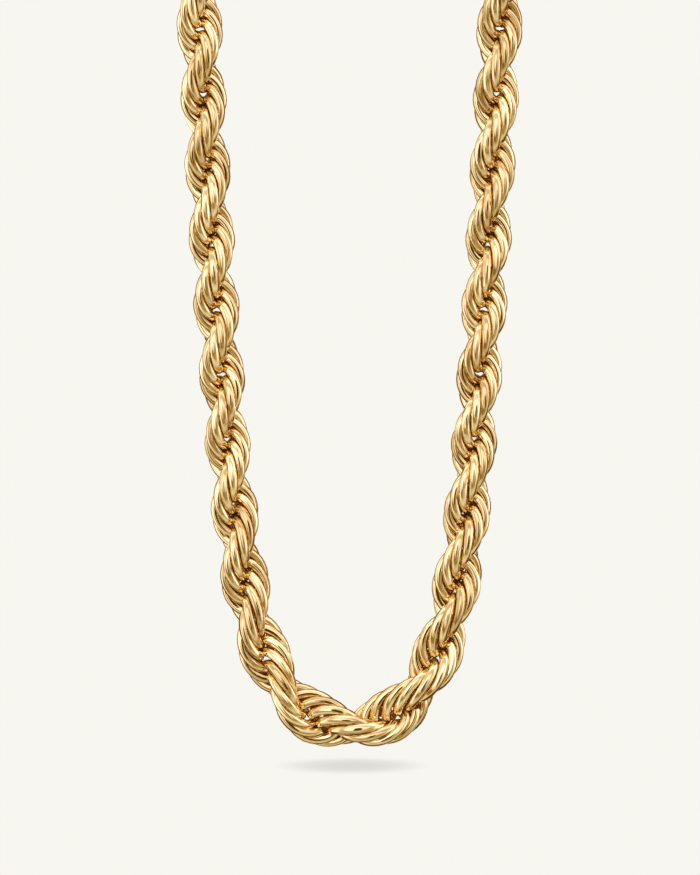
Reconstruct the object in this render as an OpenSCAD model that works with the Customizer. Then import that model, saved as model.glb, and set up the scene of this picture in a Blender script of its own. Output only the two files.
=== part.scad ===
// Rope chain necklace. C-shaped wire rings sit one behind the other on a common
// line, each turned a little further than the last, so that every ring passes
// through its neighbours and their edges read as twisted strands. The chain
// hangs in one loop in the XZ plane and a barrel clasp joins it at the top.
// The origin is under the middle of the clasp, where the necklace hangs.

/* [Chain] */
// Number of rings in the chain, an even number
ring_count = 230; // [160:2:246]
// Outer diameter of a ring on the plain part of the chain
ring_od = 8; // [6:0.1:10]
// Thickness of the ring wire
wire_d = 1.14; // [0.7:0.01:1.2]
// Free space between the wires of a ring and the third ring from it
crossing_gap = 0.2; // [0.15:0.01:0.6]
// Opening of each C-shaped ring, in degrees
ring_opening = 42; // [38:1:60]
// Rings in one full turn of the rope
rings_per_turn = 12.84; // [12:0.02:14]

/* [Graduation] */
// Share by which the rings are larger at the lowest point
size_gain = 0.165; // [0:0.005:0.18]
// Length of chain over which that gain fades out, to each side
size_reach = 57; // [30:1:90]
// Share by which the rings crowd together in the bottom bend
crowding = 0.09; // [0.08:0.01:0.12]
// Length of chain over which the crowding fades out, to each side
crowding_reach = 25; // [20:1:40]
// Share by which the turns of the rope are longer at the lowest point
turn_gain = 0.23; // [0:0.01:0.26]
// Length of chain over which that gain fades out, to each side
turn_reach = 42; // [30:1:60]
// Degrees by which the chain is rolled about its own line at the lowest point
bottom_roll = 13; // [0:1:15]
// Length of chain over which the roll fades out, to each side
roll_reach = 25; // [25:1:60]

/* [Clasp] */
// Outer diameter of the clasp barrel
barrel_od = 7; // [5:0.1:8]
// Length of the clasp barrel with its domed ends
barrel_len = 14.6; // [12:0.1:20]
// Length of each domed end of the barrel
dome_len = 2.4; // [1.5:0.1:3]
// Diameter of the flat on each domed end
dome_flat_d = 3.2; // [2:0.1:4]
// Diameter of the raised rims beside the screw joint
rim_od = 7.6; // [7:0.1:9]
// Width of each raised rim
rim_width = 1.2; // [0.8:0.1:2]
// Width of the groove between the rims
groove_width = 0.5; // [0.3:0.1:1]
// Depth of that groove below the rims
groove_depth = 0.5; // [0.2:0.05:0.8]
// Depth to which each end ring is let into the barrel
eye_seat = 0.9; // [0.6:0.05:1.1]

/* [Hidden] */
$fn = 48;
// Bends of one side from the lowest point upward, as turn in degrees and radius
route = [[50, 13.2], [18, 28], [12, 57], [5, 250], [2, 1400]];
wire_fn = 24;
ring_r = (ring_od - wire_d) / 2;
// Rings three places apart pass through each other end to end
pitch = (ring_od - 2 * wire_d - crossing_gap) / 3;
turn_per_ring = 360 / rings_per_turn;
// Distance between the centres of the two end rings that are part of the clasp
eye_span = barrel_len - 2 * eye_seat + ring_od;

function radians(a) = a * PI / 180;
function degrees(a) = a * 180 / PI;

// Share of a gain that fades out evenly to each side of the lowest point
function graded(s, gain, reach) = 1 + gain * max(0, 1 - abs(s) / reach);
function ring_scale(s) = graded(s, size_gain, size_reach);
function step_scale(s) = ring_scale(s) * graded(s, -crowding, crowding_reach);
function turn_step(s) = turn_per_ring * step_scale(s) / graded(s, turn_gain, turn_reach);

// Stations of one side as [distance from the lowest point, turn about the line].
// The last one holds the end ring of the clasp.
side = [for (i = 0, s = pitch / 2 * step_scale(0), a = turn_step(0) / 2;
        i <= ring_count / 2;
        a = a + turn_step(s + pitch / 2),
        s = s + pitch * step_scale(s + pitch / 2),
        i = i + 1) [s, a]];
side_length = side[ring_count / 2][0];
function station(k) = k < ring_count / 2
    ? -side[ring_count / 2 - 1 - k]
    : side[k - ring_count / 2];

// Places along one side as [distance, x, z, heading in degrees]
function along(from, turn, radius, d) = turn == 0
    ? [from[0] + d, from[1] + d * cos(from[3]), from[2] + d * sin(from[3]), from[3]]
    : let (h = from[3] + degrees(d / radius))
        [from[0] + d, from[1] + radius * (sin(h) - sin(from[3])),
        from[2] - radius * (cos(h) - cos(from[3])), h];
function leg(rows) = [for (i = 0, at = [0, 0, 0, 0];
        i <= len(rows);
        at = i < len(rows) ? along(at, rows[i][0], rows[i][1], rows[i][2]) : at,
        i = i + 1) at];

// The bends are followed by a straight rise and one arc that ends at the clasp
bends = [for (row = route) [row[0], row[1], radians(row[0]) * row[1]]];
shoulder = leg(bends)[len(route)];
top_turn = 180 - shoulder[3];
arc_rate = radians(top_turn) / sin(shoulder[3]);
rise = (side_length - shoulder[0] - arc_rate * (shoulder[1] - eye_span / 2))
    / (1 + arc_rate * cos(shoulder[3]));
top_radius = (shoulder[1] + rise * cos(shoulder[3]) - eye_span / 2) / sin(shoulder[3]);
rows = concat(bends, [[0, 0, rise], [top_turn, top_radius, radians(top_turn) * top_radius]]);
places = leg(rows);
loop_height = places[len(rows)][2];
clasp_z = barrel_od / 2;

function place(d) = let (i = max([for (j = [0:len(rows) - 1]) places[j][0] <= d ? j : 0]))
    along(places[i], rows[i][0], rows[i][1], d - places[i][0]);

// Moves its children to a station, with Z along the chain
module at_station(k) {
    s = station(k)[0];
    p = place(abs(s));
    roll = bottom_roll * max(0, 1 - abs(s) / roll_reach);
    translate([sign(s) * p[1], 0, clasp_z - loop_height + p[2]])
        rotate([0, 90 - sign(s) * p[3], 0])
            rotate([0, 0, 90 + station(k)[1] - roll])
                children();
}

// Ring in the XZ plane whose opening faces up
module ring(size, opening) {
    rotate([90, 0, 0])
        rotate([0, 0, 90 + opening / 2])
            rotate_extrude(angle = 360 - opening)
                translate([ring_r * size, 0])
                    circle(d = wire_d * size, $fn = wire_fn);
}

module rope_chain() {
    color("goldenrod")
        for (k = [0:ring_count - 1])
            at_station(k)
                rotate([k % 2 == 0 ? 0 : 180, 0, 0])
                    ring(ring_scale(station(k)[0]), ring_opening);
}

module half_barrel() {
    r = barrel_od / 2;
    rotate_extrude()
        polygon([
            [0, 0],
            [rim_od / 2 - groove_depth, 0],
            [rim_od / 2 - groove_depth, groove_width / 2],
            [rim_od / 2, groove_width / 2],
            [rim_od / 2, groove_width / 2 + rim_width],
            [r, groove_width / 2 + rim_width],
            [r, barrel_len / 2 - dome_len],
            for (a = [15:15:75])
                [dome_flat_d / 2 + (r - dome_flat_d / 2) * cos(a),
                barrel_len / 2 - dome_len * (1 - sin(a))],
            [dome_flat_d / 2, barrel_len / 2],
            [0, barrel_len / 2]
        ]);
}

module clasp() {
    color("goldenrod")
        union() {
            translate([0, 0, clasp_z])
                for (side_turn = [-90, 90])
                    rotate([0, side_turn, 0])
                        half_barrel();
            at_station(-1) ring(ring_scale(side_length), 0);
            at_station(ring_count) ring(ring_scale(side_length), 0);
        }
}

rope_chain();
clasp();
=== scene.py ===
import math
import random

import bmesh
import bpy
from mathutils import Matrix, Vector


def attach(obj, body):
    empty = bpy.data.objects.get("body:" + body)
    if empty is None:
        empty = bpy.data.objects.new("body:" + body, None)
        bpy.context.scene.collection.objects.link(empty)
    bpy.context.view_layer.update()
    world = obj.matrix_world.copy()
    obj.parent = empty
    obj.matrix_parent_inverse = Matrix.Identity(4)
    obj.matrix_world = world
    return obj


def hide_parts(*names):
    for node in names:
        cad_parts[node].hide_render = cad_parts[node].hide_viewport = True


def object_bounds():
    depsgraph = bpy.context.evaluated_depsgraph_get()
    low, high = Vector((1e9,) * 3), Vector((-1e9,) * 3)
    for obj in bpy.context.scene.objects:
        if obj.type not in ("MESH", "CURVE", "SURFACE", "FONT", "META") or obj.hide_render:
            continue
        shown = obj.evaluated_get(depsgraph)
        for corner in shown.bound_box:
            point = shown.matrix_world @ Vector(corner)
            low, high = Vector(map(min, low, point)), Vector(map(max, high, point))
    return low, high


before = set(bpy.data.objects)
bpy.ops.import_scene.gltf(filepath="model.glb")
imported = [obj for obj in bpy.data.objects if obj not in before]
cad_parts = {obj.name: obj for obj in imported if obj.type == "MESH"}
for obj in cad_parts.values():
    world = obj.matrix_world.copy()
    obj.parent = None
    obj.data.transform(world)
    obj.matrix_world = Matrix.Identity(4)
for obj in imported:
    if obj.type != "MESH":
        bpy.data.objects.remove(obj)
cadLow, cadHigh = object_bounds()
mm = 0.001
scene = bpy.context.scene

# Chain. Its lengths are in millimetres, and each ring is brought to metres when it is placed
ropeChain = {
    "ringCount": 230,
    "ringOuter": 8.0,
    "setOutWire": 1.14,       # wire and free space that the ring spacing is worked out from
    "setOutSpace": 0.2,
    "seamTurn": 6.0,          # radians: a vertex turned further lies at the start of its arc
    "ringsPerTurn": 12.84,
    "wire": 1.58,             # wire as it shows
    "wireGain": 0.07,         # share by which it is thicker at the lowest point
    "ovalness": 1.23,         # length over width of a ring's centreline
    "openingHalf": 19.0,      # degrees to each side of the ring's end
    "endRound": 0.3,          # rounding of the cut ends
    "endSteps": 2,
    "wireSides": 12,
    "stepsPerQuarter": 9,
    "markShift": 37.0,        # keeps the polish marks of one ring off the next
    "turnJitter": 1.2,        # degrees
    "leanJitter": 0.8,        # degrees
    "shiftJitter": 0.02,
    "seed": 7,
}
# Gains at the lowest point, its roll in degrees, and the chain's length over which each fades out
grading = {
    "sizeGain": 0.165, "sizeReach": 57.0,
    "crowding": 0.09, "crowdingReach": 25.0,
    "turnGain": 0.23, "turnReach": 42.0,
    "bottomRoll": 13.0, "rollReach": 25.0,
}
# Bends of one side from the lowest point upward: degrees and radius
route = [(50, 13.2), (18, 28), (12, 57), (5, 250), (2, 1400)]
# Sizes of the clasp that the line of the chain depends on
claspFit = {"barrelLength": 14.6, "barrelOuter": 7.0, "eyeSeat": 0.9}


# Share at s, the distance along the chain from its lowest point
def graded(s, gain, reach):
    return 1 + gain * max(0.0, 1 - abs(s) / reach)


def ringScale(s):
    return graded(s, grading["sizeGain"], grading["sizeReach"])


def stepScale(s):
    return ringScale(s) * graded(s, -grading["crowding"], grading["crowdingReach"])


# Distance from the lowest point and turn of each ring on one side, clasp ring last
def stations():
    c = ropeChain
    pitch = (c["ringOuter"] - 2 * c["setOutWire"] - c["setOutSpace"]) / 3
    perRing = 360 / c["ringsPerTurn"]

    def turnStep(s):
        return perRing * stepScale(s) / graded(s, grading["turnGain"], grading["turnReach"])

    s, turn = pitch / 2 * stepScale(0), turnStep(0) / 2
    side = []
    for i in range(c["ringCount"] // 2 + 1):
        side.append((s, turn))
        turn += turnStep(s + pitch / 2)
        s += pitch * stepScale(s + pitch / 2)
    return side


# Goes on by d from a place given as length, x, z and heading
def along(start, turn, radius, d):
    length, x, z, h = start
    if turn == 0:
        return length + d, x + d * math.cos(h), z + d * math.sin(h), h
    h2 = h + d / radius
    return (length + d, x + radius * (math.sin(h2) - math.sin(h)),
            z - radius * (math.cos(h2) - math.cos(h)), h2)


# The bends are followed by a straight rise and one arc that ends at the clasp
def routeOf(sideLength):
    rows = [(math.radians(t), r, math.radians(t) * r) for t, r in route]
    places = [(0.0, 0.0, 0.0, 0.0)]
    for turn, radius, length in rows:
        places.append(along(places[-1], turn, radius, length))
    reach, x, z, h = places[-1]
    eye = (claspFit["barrelLength"] - 2 * claspFit["eyeSeat"] + ropeChain["ringOuter"]) / 2
    topTurn = math.pi - h
    rate = topTurn / math.sin(h)
    rise = (sideLength - reach - rate * (x - eye)) / (1 + rate * math.cos(h))
    topRadius = (x + rise * math.cos(h) - eye) / math.sin(h)
    rows += [(0, 0, rise), (topTurn, topRadius, topTurn * topRadius)]
    for turn, radius, length in rows[-2:]:
        places.append(along(places[-1], turn, radius, length))
    return rows, places


side = stations()
rows, places = routeOf(side[-1][0])
topZ = claspFit["barrelOuter"] / 2 - places[-1][2]


# Point and direction of the chain's line at s, which is negative to the left
def place(s):
    d = abs(s)
    i = max(j for j in range(len(rows)) if places[j][0] <= d)
    _, x, z, h = along(places[i], rows[i][0], rows[i][1], d - places[i][0])
    sign = 1 if s >= 0 else -1
    line = Vector((math.cos(h), 0, sign * math.sin(h)))
    return Vector((sign * x, 0, topZ + z)), line


# Spin leaves an order that changes from run to run, so the parts are sorted by their place
def putInOrder(bm):
    for i, v in enumerate(sorted(bm.verts, key=lambda v: tuple(v.co))):
        v.index = i
    bm.verts.sort()
    for parts in (bm.edges, bm.faces):
        for i, part in enumerate(sorted(parts, key=lambda p: sorted(v.index for v in p.verts))):
            part.index = i
        parts.sort()


# An open oval of four arcs that run smoothly into each other, spun from a disc
def makeRing(size, number):
    c = ropeChain
    wire = c["wire"] * (1 + c["wireGain"] * (size - 1) / grading["sizeGain"])
    a = (c["ringOuter"] * size - wire) / 2
    b = a * c["ovalness"]
    k = (b - a) / (math.sqrt(2) - 1)
    off = k / math.sqrt(2)
    endR, sideR = b - off, a + off
    half = math.radians(c["openingHalf"])
    q = math.pi / 2
    arcs = [((0, off), endR, q / 2 - half), ((off, 0), sideR, q), ((0, -off), endR, q),
            ((-off, 0), sideR, q), ((0, off), endR, q / 2 - half)]
    bm = bmesh.new()
    marks = bm.verts.layers.float_vector.new("wirePlace")     # across, across and along the wire
    reach = number * c["markShift"]
    start = q + half
    at = Matrix.Translation((endR * math.cos(start), 0, off + endR * math.sin(start)))
    bmesh.ops.create_circle(bm, cap_ends=True, segments=c["wireSides"], radius=wire / 2,
                            matrix=at @ Matrix.Rotation(-start, 4, "Y"))
    loop = list(bm.edges)
    for v in bm.verts:
        v[marks] = (math.hypot(v.co.x, v.co.z - off) - endR, v.co.y, reach)
    for (cx, cz), radius, sweep in arcs:
        have = len(bm.verts)
        steps = max(2, round(c["stepsPerQuarter"] * sweep / q))
        spun = bmesh.ops.spin(bm, geom=loop, cent=(cx, 0, cz), axis=(0, -1, 0), dvec=(0, 0, 0),
                              angle=sweep, steps=steps, use_duplicate=False)
        loop = [e for e in spun["geom_last"] if isinstance(e, bmesh.types.BMEdge)]
        bm.verts.ensure_lookup_table()
        for v in bm.verts[have:]:
            turned = (math.atan2(v.co.z - cz, v.co.x - cx) - start) % math.tau
            out = math.hypot(v.co.x - cx, v.co.z - cz) - radius
            turned = turned if turned < c["seamTurn"] else 0.0
            v[marks] = (out, v.co.y, reach + radius * turned)
        start += sweep
        reach += radius * sweep
    bmesh.ops.edgeloop_fill(bm, edges=loop)
    bmesh.ops.recalc_face_normals(bm, faces=bm.faces)
    ends = {e for f in bm.faces if len(f.verts) > 4 for e in f.edges}
    bmesh.ops.bevel(bm, geom=list(ends), offset=c["endRound"], segments=c["endSteps"],
                    affect="EDGES", profile=0.5, material=-1)
    for f in bm.faces:
        f.smooth = True
    putInOrder(bm)
    mesh = bpy.data.meshes.new("ring")
    bm.to_mesh(mesh)
    bm.free()
    return mesh


# One side of the chain as one piece, its rings set a little off their places
def strand(name, first, last, rng):
    c = ropeChain
    half = c["ringCount"] // 2
    bm = bmesh.new()
    for k in range(first, last):
        s, turn = side[k - half] if k >= half else (-side[half - 1 - k][0], -side[half - 1 - k][1])
        centre, line = place(s)
        out = Vector((0, 1, 0)).cross(line)
        turn -= grading["bottomRoll"] * (graded(s, 1, grading["rollReach"]) - 1)
        turn = math.radians(90 + turn + rng.uniform(-1, 1) * c["turnJitter"])
        u = (math.cos(turn) * out + math.sin(turn) * Vector((0, 1, 0))).normalized()
        v = line.cross(u)
        grid = Matrix((u, v, line)).transposed().to_4x4()
        lean = Matrix.Rotation(math.radians(rng.uniform(-1, 1) * c["leanJitter"]), 4, "X")
        lean = lean @ Matrix.Rotation(math.radians(rng.uniform(-1, 1) * c["leanJitter"]), 4, "Y")
        shift = Vector([rng.uniform(-1, 1) * c["shiftJitter"] for _ in range(3)])
        flip = Matrix.Rotation(math.pi if k % 2 else 0.0, 4, "X")
        move = (Matrix.Translation((centre + shift) * mm) @ grid @ lean @ flip
                @ Matrix.Scale(mm, 4))
        have = len(bm.verts)
        ring = makeRing(ringScale(s), k)
        bm.from_mesh(ring)
        bpy.data.meshes.remove(ring)
        bm.verts.ensure_lookup_table()
        bmesh.ops.transform(bm, matrix=move, verts=bm.verts[have:])
    mesh = bpy.data.meshes.new(name)
    bm.to_mesh(mesh)
    bm.free()
    piece = bpy.data.objects.new(name, mesh)
    scene.collection.objects.link(piece)
    return piece


def link(tree, a, b):
    tree.links.new(a, b)


# Colour ramp from (position, colour) pairs
def toneRamp(tree, stops):
    ramp = tree.nodes.new("ShaderNodeValToRGB")
    els = ramp.color_ramp.elements
    while len(els) < len(stops):
        els.new(0.5)
    for e, (pos, colour) in zip(els, stops):
        e.position = pos
        e.color = (*colour, 1)
    return ramp


# Marks of the polish, fine streaks and wide clouds, used by both golds
polishMarks = {"streakDetail": 1.5, "cloudDetail": 0.5, "toneFrom": 0.35, "toneTo": 0.65}


def polishGroup():
    c = polishMarks
    g = bpy.data.node_groups.new("polishMarks", "ShaderNodeTree")
    sockets = [("Vector", "INPUT", "NodeSocketVector"), ("Streaks", "INPUT", "NodeSocketVector"),
               ("Clouds", "INPUT", "NodeSocketVector"), ("Low", "INPUT", "NodeSocketFloat"),
               ("High", "INPUT", "NodeSocketFloat"), ("Height", "OUTPUT", "NodeSocketFloat"),
               ("Tone", "OUTPUT", "NodeSocketFloat"), ("Roughness", "OUTPUT", "NodeSocketFloat")]
    for name, way, kind in sockets:
        g.interface.new_socket(name, in_out=way, socket_type=kind)
    start = g.nodes.new("NodeGroupInput")
    end = g.nodes.new("NodeGroupOutput")
    found = {}
    for name, detail in (("Streaks", c["streakDetail"]), ("Clouds", c["cloudDetail"])):
        spread = g.nodes.new("ShaderNodeVectorMath")
        spread.operation = "MULTIPLY"
        link(g, start.outputs["Vector"], spread.inputs[0])
        link(g, start.outputs[name], spread.inputs[1])
        noise = g.nodes.new("ShaderNodeTexNoise")
        noise.inputs["Scale"].default_value = 1.0
        noise.inputs["Detail"].default_value = detail
        link(g, spread.outputs["Vector"], noise.inputs["Vector"])
        found[name] = noise.outputs["Fac"]
    tone = g.nodes.new("ShaderNodeMapRange")
    tone.inputs["From Min"].default_value = c["toneFrom"]
    tone.inputs["From Max"].default_value = c["toneTo"]
    link(g, found["Clouds"], tone.inputs["Value"])
    rough = g.nodes.new("ShaderNodeMapRange")
    link(g, found["Streaks"], rough.inputs["Value"])
    link(g, start.outputs["Low"], rough.inputs["To Min"])
    link(g, start.outputs["High"], rough.inputs["To Max"])
    link(g, found["Streaks"], end.inputs["Height"])
    link(g, tone.outputs["Result"], end.inputs["Tone"])
    link(g, rough.outputs["Result"], end.inputs["Roughness"])
    return g


# Polished gold with painted shade: its colour turns dark and brown in the gaps between the rings,
# where ambient occlusion finds neighbours close
def goldMaterial(name, values):
    m = bpy.data.materials.new(name)
    m.use_nodes = True
    tree = m.node_tree
    shader = tree.nodes["Principled BSDF"]
    shader.inputs["Metallic"].default_value = 1.0
    # Painted glow: the gold gives off a faint warm light that shows in the deepest gaps
    shader.inputs["Emission Color"].default_value = (*values["paintedGlow"], 1)
    shader.inputs["Emission Strength"].default_value = values["paintedGlowStrength"]
    marks = tree.nodes.new("ShaderNodeGroup")
    marks.node_tree = polish
    marks.inputs["Streaks"].default_value = values["streaks"]
    marks.inputs["Clouds"].default_value = values["clouds"]
    marks.inputs["Low"].default_value, marks.inputs["High"].default_value = values["rough"]
    if values["attribute"]:
        where = tree.nodes.new("ShaderNodeAttribute")
        where.attribute_name = values["attribute"]
        link(tree, where.outputs["Vector"], marks.inputs["Vector"])
    else:
        where = tree.nodes.new("ShaderNodeTexCoord")
        link(tree, where.outputs["Object"], marks.inputs["Vector"])
    link(tree, marks.outputs["Roughness"], shader.inputs["Roughness"])
    bump = tree.nodes.new("ShaderNodeBump")
    bump.inputs["Strength"].default_value = 1.0
    bump.inputs["Distance"].default_value = values["depth"]
    link(tree, marks.outputs["Height"], bump.inputs["Height"])
    link(tree, bump.outputs["Normal"], shader.inputs["Normal"])
    # Painted shade: ambient occlusion darkens and browns the gold's colour in the gaps
    shade = tree.nodes.new("ShaderNodeAmbientOcclusion")
    shade.samples = values["creviceSamples"]
    shade.inputs["Distance"].default_value = values["creviceReach"]
    goldWithPaintedShade = toneRamp(tree, values["goldWithPaintedShade"])
    link(tree, shade.outputs["AO"], goldWithPaintedShade.inputs["Fac"])
    tint = toneRamp(tree, values["tint"])
    link(tree, marks.outputs["Tone"], tint.inputs["Fac"])
    colour = tree.nodes.new("ShaderNodeVectorMath")
    colour.operation = "MULTIPLY"
    link(tree, goldWithPaintedShade.outputs["Color"], colour.inputs[0])
    link(tree, tint.outputs["Color"], colour.inputs[1])
    link(tree, colour.outputs["Vector"], shader.inputs["Base Color"])
    return m


# Gold of the wire. Streaks and clouds are counts to the millimetre across, across and along it
goldWire = {
    "attribute": "wirePlace", "streaks": (1.5, 1.5, 0.05), "clouds": (0.25, 0.25, 0.07),
    "depth": 0.00018, "rough": (0.02, 0.07),      # depth in metres
    "tint": [(0, (0.71, 0.63, 0.50)), (0.5, (0.93, 0.91, 0.87)), (1, (1, 1, 1))],
    # Painted shade: the gold colour, darkened and browned where the occlusion is low
    "goldWithPaintedShade": [(0, (0.10, 0.035, 0.003)), (0.3, (0.51, 0.34, 0.11)), (0.5, (1.0, 0.79, 0.44))],
    "creviceReach": 0.0010, "creviceSamples": 16,         # reach in metres
    "paintedGlow": (0.30, 0.12, 0.02), "paintedGlowStrength": 0.05,     # painted glow: faint warm light given off by the gold, seen in the deepest gaps
}
polish = polishGroup()
rng = random.Random(ropeChain["seed"])
middle = ropeChain["ringCount"] // 2
chainLeft = strand("chainLeft", 0, middle, rng)
chainRight = strand("chainRight", middle, ropeChain["ringCount"], rng)
gold = goldMaterial("polishedGold", goldWire)
for piece in (chainLeft, chainRight):
    piece.data.materials.append(gold)
    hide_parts("rope_chain")
    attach(piece, "root")
print("chain", len(chainLeft.data.polygons), "faces a side")

# Clasp, turned on a lathe, so its marks run round the barrel. They are counts to the metre
goldClasp = dict(goldWire)
goldClasp.update({"attribute": "", "streaks": (1400, 40, 40), "clouds": (120, 120, 120),
                  "depth": 0.00003, "rough": (0.05, 0.16)})
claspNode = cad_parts["clasp"]
claspGold = goldMaterial("turnedGold", goldClasp)
for slot in claspNode.material_slots:
    slot.material = claspGold
print("clasp finished,", len(claspNode.material_slots), "slots")

# Studio. The photo is 700 by 875 pixels
studio = {
    "backdrop": (0.930, 0.922, 0.871),
    "pxPerMm": 5.85, "frameTall": 875.0,
    "distance": 0.9, "clip": (0.01, 50),      # metres
    "elevation": 4.0, "roll": -0.16,          # degrees
    "lookAt": (-0.15, 0.0, 49.75),   # from the line of the chain at its lowest point
    # Light by its angle from ringsAt: (degrees, strength)
    "ringsAt": (-0.12, -0.95, 0.26),
    "rings": [(0, 0.95), (26, 1.2), (35, 1.1), (45, 0.5), (56, 0.48), (66, 1.1), (84, 1.9),
              (99, 1.35), (111, 0.26), (144, 0.22), (157, 0.95), (180, 1.4)],
    "slotHalf": (15, 28), "slotEdge": (0.8, 1.15), "slotTone": 0.03,      # half in degrees
    "waveScale": 1.5, "waveDetail": 1, "waveDepth": 0.16,
    # Light from straight below has the share lightLow, and lightHigh is reached above level
    "lightFrom": (0.12, 0.0, 0.99), "lightLow": 0.22, "lightHigh": 1.2, "lightFull": 0.2,
    "patchShift": (3.0, 1.0, 2.0), "patchScale": 1.1, "patchDetail": 0.0,
    "patchFrom": 0.35, "patchTo": 0.65, "patchLow": 0.6, "patchHigh": 1.3,
    # Colour of the light by its strength over lightMost
    "lightMost": 1.8,
    "lightTones": [(0.0, (0.03, 0.010, 0.001)), (0.12, (0.27, 0.13, 0.015)),
                   (0.2, (0.43, 0.33, 0.14)), (0.3, (0.63, 0.60, 0.48)),
                   (0.55, (1.03, 1.06, 1.03)), (1.0, (1.75, 1.68, 2.05))],
    "floorHalf": 6.0,                # metres
    "floorDrop": 3.2,                # millimetres under the chain
    "shadowHalf": (13.6, 11.6),      # millimetres to the side and to the front
    "shadowTones": [(0.0, 1.0), (0.12, 0.965), (0.4, 0.85), (0.7, 0.785), (1.0, 0.765)],
}


# Light for the reflections, with the plain backdrop for the camera
def makeWorld():
    world = bpy.data.worlds.new("studioLight")
    scene.world = world
    world.use_nodes = True
    tree = world.node_tree
    light = tree.nodes["Background"]
    coords = tree.nodes.new("ShaderNodeTexCoord")
    centred = tree.nodes.new("ShaderNodeVectorMath")   # 1 at the middle of the rings, -1 behind
    centred.operation = "DOT_PRODUCT"
    centred.inputs[1].default_value = Vector(studio["ringsAt"]).normalized()
    link(tree, coords.outputs["Generated"], centred.inputs[0])
    wave = tree.nodes.new("ShaderNodeTexNoise")
    wave.inputs["Scale"].default_value = studio["waveScale"]
    wave.inputs["Detail"].default_value = studio["waveDetail"]
    link(tree, coords.outputs["Generated"], wave.inputs["Vector"])
    bend = tree.nodes.new("ShaderNodeMath")
    bend.operation = "MULTIPLY_ADD"
    bend.inputs[1].default_value = studio["waveDepth"]
    bend.inputs[2].default_value = 0.5 - studio["waveDepth"] / 2
    link(tree, wave.outputs["Fac"], bend.inputs[0])
    facing = tree.nodes.new("ShaderNodeMath")
    facing.operation = "MULTIPLY_ADD"
    facing.inputs[1].default_value = 0.5
    link(tree, centred.outputs["Value"], facing.inputs[0])
    link(tree, bend.outputs[0], facing.inputs[2])
    stops = sorted(((math.cos(math.radians(a)) + 1) / 2, v) for a, v in studio["rings"])
    rings = toneRamp(tree, [(pos, (v, v, v)) for pos, v in stops])
    rings.color_ramp.interpolation = "EASE"
    link(tree, facing.outputs[0], rings.inputs["Fac"])
    toward = tree.nodes.new("ShaderNodeVectorMath")
    toward.operation = "DOT_PRODUCT"
    toward.inputs[1].default_value = studio["lightFrom"]
    link(tree, coords.outputs["Generated"], toward.inputs[0])
    slope = tree.nodes.new("ShaderNodeMapRange")
    slope.inputs["From Min"].default_value = -1
    slope.inputs["From Max"].default_value = studio["lightFull"]
    slope.inputs["To Min"].default_value = studio["lightLow"]
    slope.inputs["To Max"].default_value = studio["lightHigh"]
    link(tree, toward.outputs["Value"], slope.inputs["Value"])
    move = tree.nodes.new("ShaderNodeMapping")
    move.inputs["Location"].default_value = studio["patchShift"]
    move.inputs["Scale"].default_value = (-1, 1, 1)
    link(tree, coords.outputs["Generated"], move.inputs["Vector"])
    patches = tree.nodes.new("ShaderNodeTexNoise")
    patches.inputs["Scale"].default_value = studio["patchScale"]
    patches.inputs["Detail"].default_value = studio["patchDetail"]
    link(tree, move.outputs["Vector"], patches.inputs["Vector"])
    spread = tree.nodes.new("ShaderNodeMapRange")
    spread.inputs["From Min"].default_value = studio["patchFrom"]
    spread.inputs["From Max"].default_value = studio["patchTo"]
    spread.inputs["To Min"].default_value = studio["patchLow"]
    spread.inputs["To Max"].default_value = studio["patchHigh"]
    link(tree, patches.outputs["Fac"], spread.inputs["Value"])
    near = tree.nodes.new("ShaderNodeVectorMath")      # dark slots before the chain and behind it
    near.operation = "MULTIPLY"
    across, up = [math.sin(math.radians(a)) for a in studio["slotHalf"]]
    near.inputs[1].default_value = (1 / across, 0, 1 / up)
    link(tree, coords.outputs["Generated"], near.inputs[0])
    away = tree.nodes.new("ShaderNodeVectorMath")
    away.operation = "LENGTH"
    link(tree, near.outputs["Vector"], away.inputs[0])
    slot = tree.nodes.new("ShaderNodeMapRange")
    slot.interpolation_type = "SMOOTHSTEP"
    slot.inputs["From Min"].default_value = studio["slotEdge"][0]
    slot.inputs["From Max"].default_value = studio["slotEdge"][1]
    slot.inputs["To Min"].default_value = studio["slotTone"]
    link(tree, away.outputs["Value"], slot.inputs["Value"])
    strength = rings.outputs["Color"]
    for factor in (spread, slot, slope):
        step = tree.nodes.new("ShaderNodeMath")
        step.operation = "MULTIPLY"
        link(tree, strength, step.inputs[0])
        link(tree, factor.outputs["Result"], step.inputs[1])
        strength = step.outputs[0]
    share = tree.nodes.new("ShaderNodeMath")
    share.operation = "DIVIDE"
    share.inputs[1].default_value = studio["lightMost"]
    link(tree, strength, share.inputs[0])
    tones = toneRamp(tree, studio["lightTones"])
    link(tree, share.outputs[0], tones.inputs["Fac"])
    link(tree, tones.outputs["Color"], light.inputs["Color"])
    back = tree.nodes.new("ShaderNodeBackground")
    back.inputs["Color"].default_value = (*studio["backdrop"], 1)
    path = tree.nodes.new("ShaderNodeLightPath")
    mix = tree.nodes.new("ShaderNodeMixShader")
    link(tree, path.outputs["Is Camera Ray"], mix.inputs[0])
    link(tree, light.outputs[0], mix.inputs[1])
    link(tree, back.outputs[0], mix.inputs[2])
    link(tree, mix.outputs[0], tree.nodes["World Output"].inputs[0])


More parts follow.
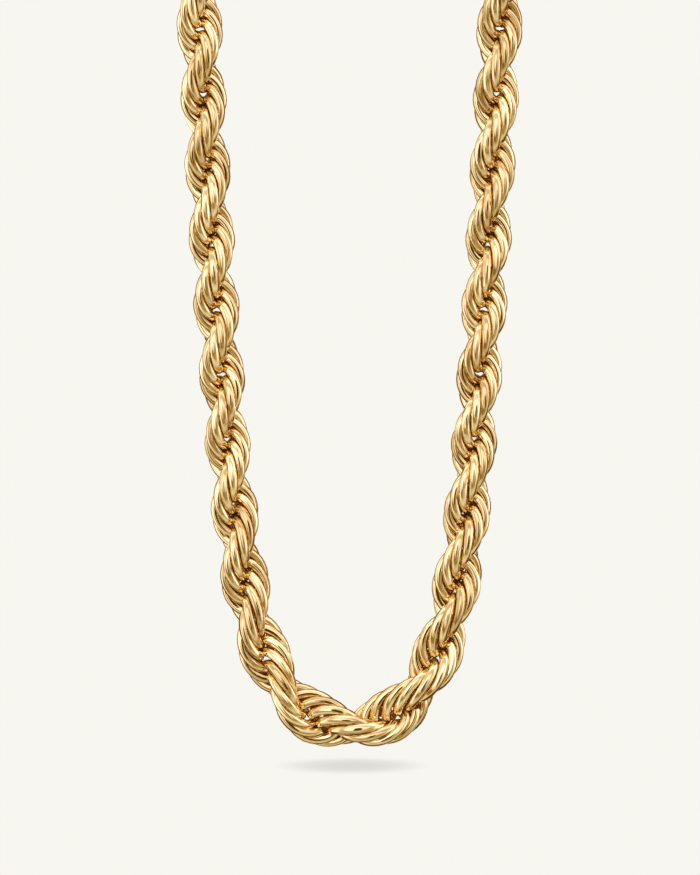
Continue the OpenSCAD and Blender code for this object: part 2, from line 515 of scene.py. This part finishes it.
# Pale floor with a soft oval shadow under the chain
def makeFloor():
    bm = bmesh.new()
    bmesh.ops.create_grid(bm, x_segments=1, y_segments=1, size=studio["floorHalf"],
                          matrix=Matrix.Translation((0, 0, cadLow.z - studio["floorDrop"] * mm)))
    mesh = bpy.data.meshes.new("floor")
    bm.to_mesh(mesh)
    bm.free()
    floor = bpy.data.objects.new("floor", mesh)
    scene.collection.objects.link(floor)
    m = bpy.data.materials.new("paleFloor")
    m.use_nodes = True
    tree = m.node_tree
    tree.nodes.remove(tree.nodes["Principled BSDF"])
    glow = tree.nodes.new("ShaderNodeEmission")
    coords = tree.nodes.new("ShaderNodeTexCoord")
    oval = tree.nodes.new("ShaderNodeMapping")
    oval.inputs["Scale"].default_value = [1 / (half * mm) for half in studio["shadowHalf"]] + [0]
    link(tree, coords.outputs["Object"], oval.inputs["Vector"])
    fade = tree.nodes.new("ShaderNodeTexGradient")
    fade.gradient_type = "SPHERICAL"
    link(tree, oval.outputs["Vector"], fade.inputs["Vector"])
    ramp = toneRamp(tree, [(pos, [v * channel for channel in studio["backdrop"]])
                           for pos, v in studio["shadowTones"]])
    link(tree, fade.outputs["Color"], ramp.inputs["Fac"])
    link(tree, ramp.outputs["Color"], glow.inputs["Color"])
    path = tree.nodes.new("ShaderNodeLightPath")      # only the camera sees the floor
    clear = tree.nodes.new("ShaderNodeBsdfTransparent")
    mix = tree.nodes.new("ShaderNodeMixShader")
    link(tree, path.outputs["Is Camera Ray"], mix.inputs[0])
    link(tree, clear.outputs[0], mix.inputs[1])
    link(tree, glow.outputs[0], mix.inputs[2])
    link(tree, mix.outputs[0], tree.nodes["Material Output"].inputs["Surface"])
    mesh.materials.append(m)


# The lens is worked out so that the chain shows at pxPerMm
def makeCamera():
    data = bpy.data.cameras.new("camera")
    cam = bpy.data.objects.new("camera", data)
    scene.collection.objects.link(cam)
    tall = studio["frameTall"] / studio["pxPerMm"] * mm
    data.lens = data.sensor_width * studio["distance"] / tall
    e = math.radians(studio["elevation"])
    back = Vector((0, -math.cos(e), math.sin(e)))
    cam.location = (Vector(studio["lookAt"]) + Vector((0, 0, topZ))) * mm + back * studio["distance"]
    aim = (-back).to_track_quat("-Z", "Y").to_matrix().to_4x4()
    roll = Matrix.Rotation(math.radians(studio["roll"]), 4, "Z")
    cam.matrix_world = Matrix.Translation(cam.location) @ aim @ roll
    data.clip_start, data.clip_end = studio["clip"]
    scene.camera = cam


makeWorld()
makeFloor()
makeCamera()
scene.view_settings.view_transform = "Standard"
print("studio ready")
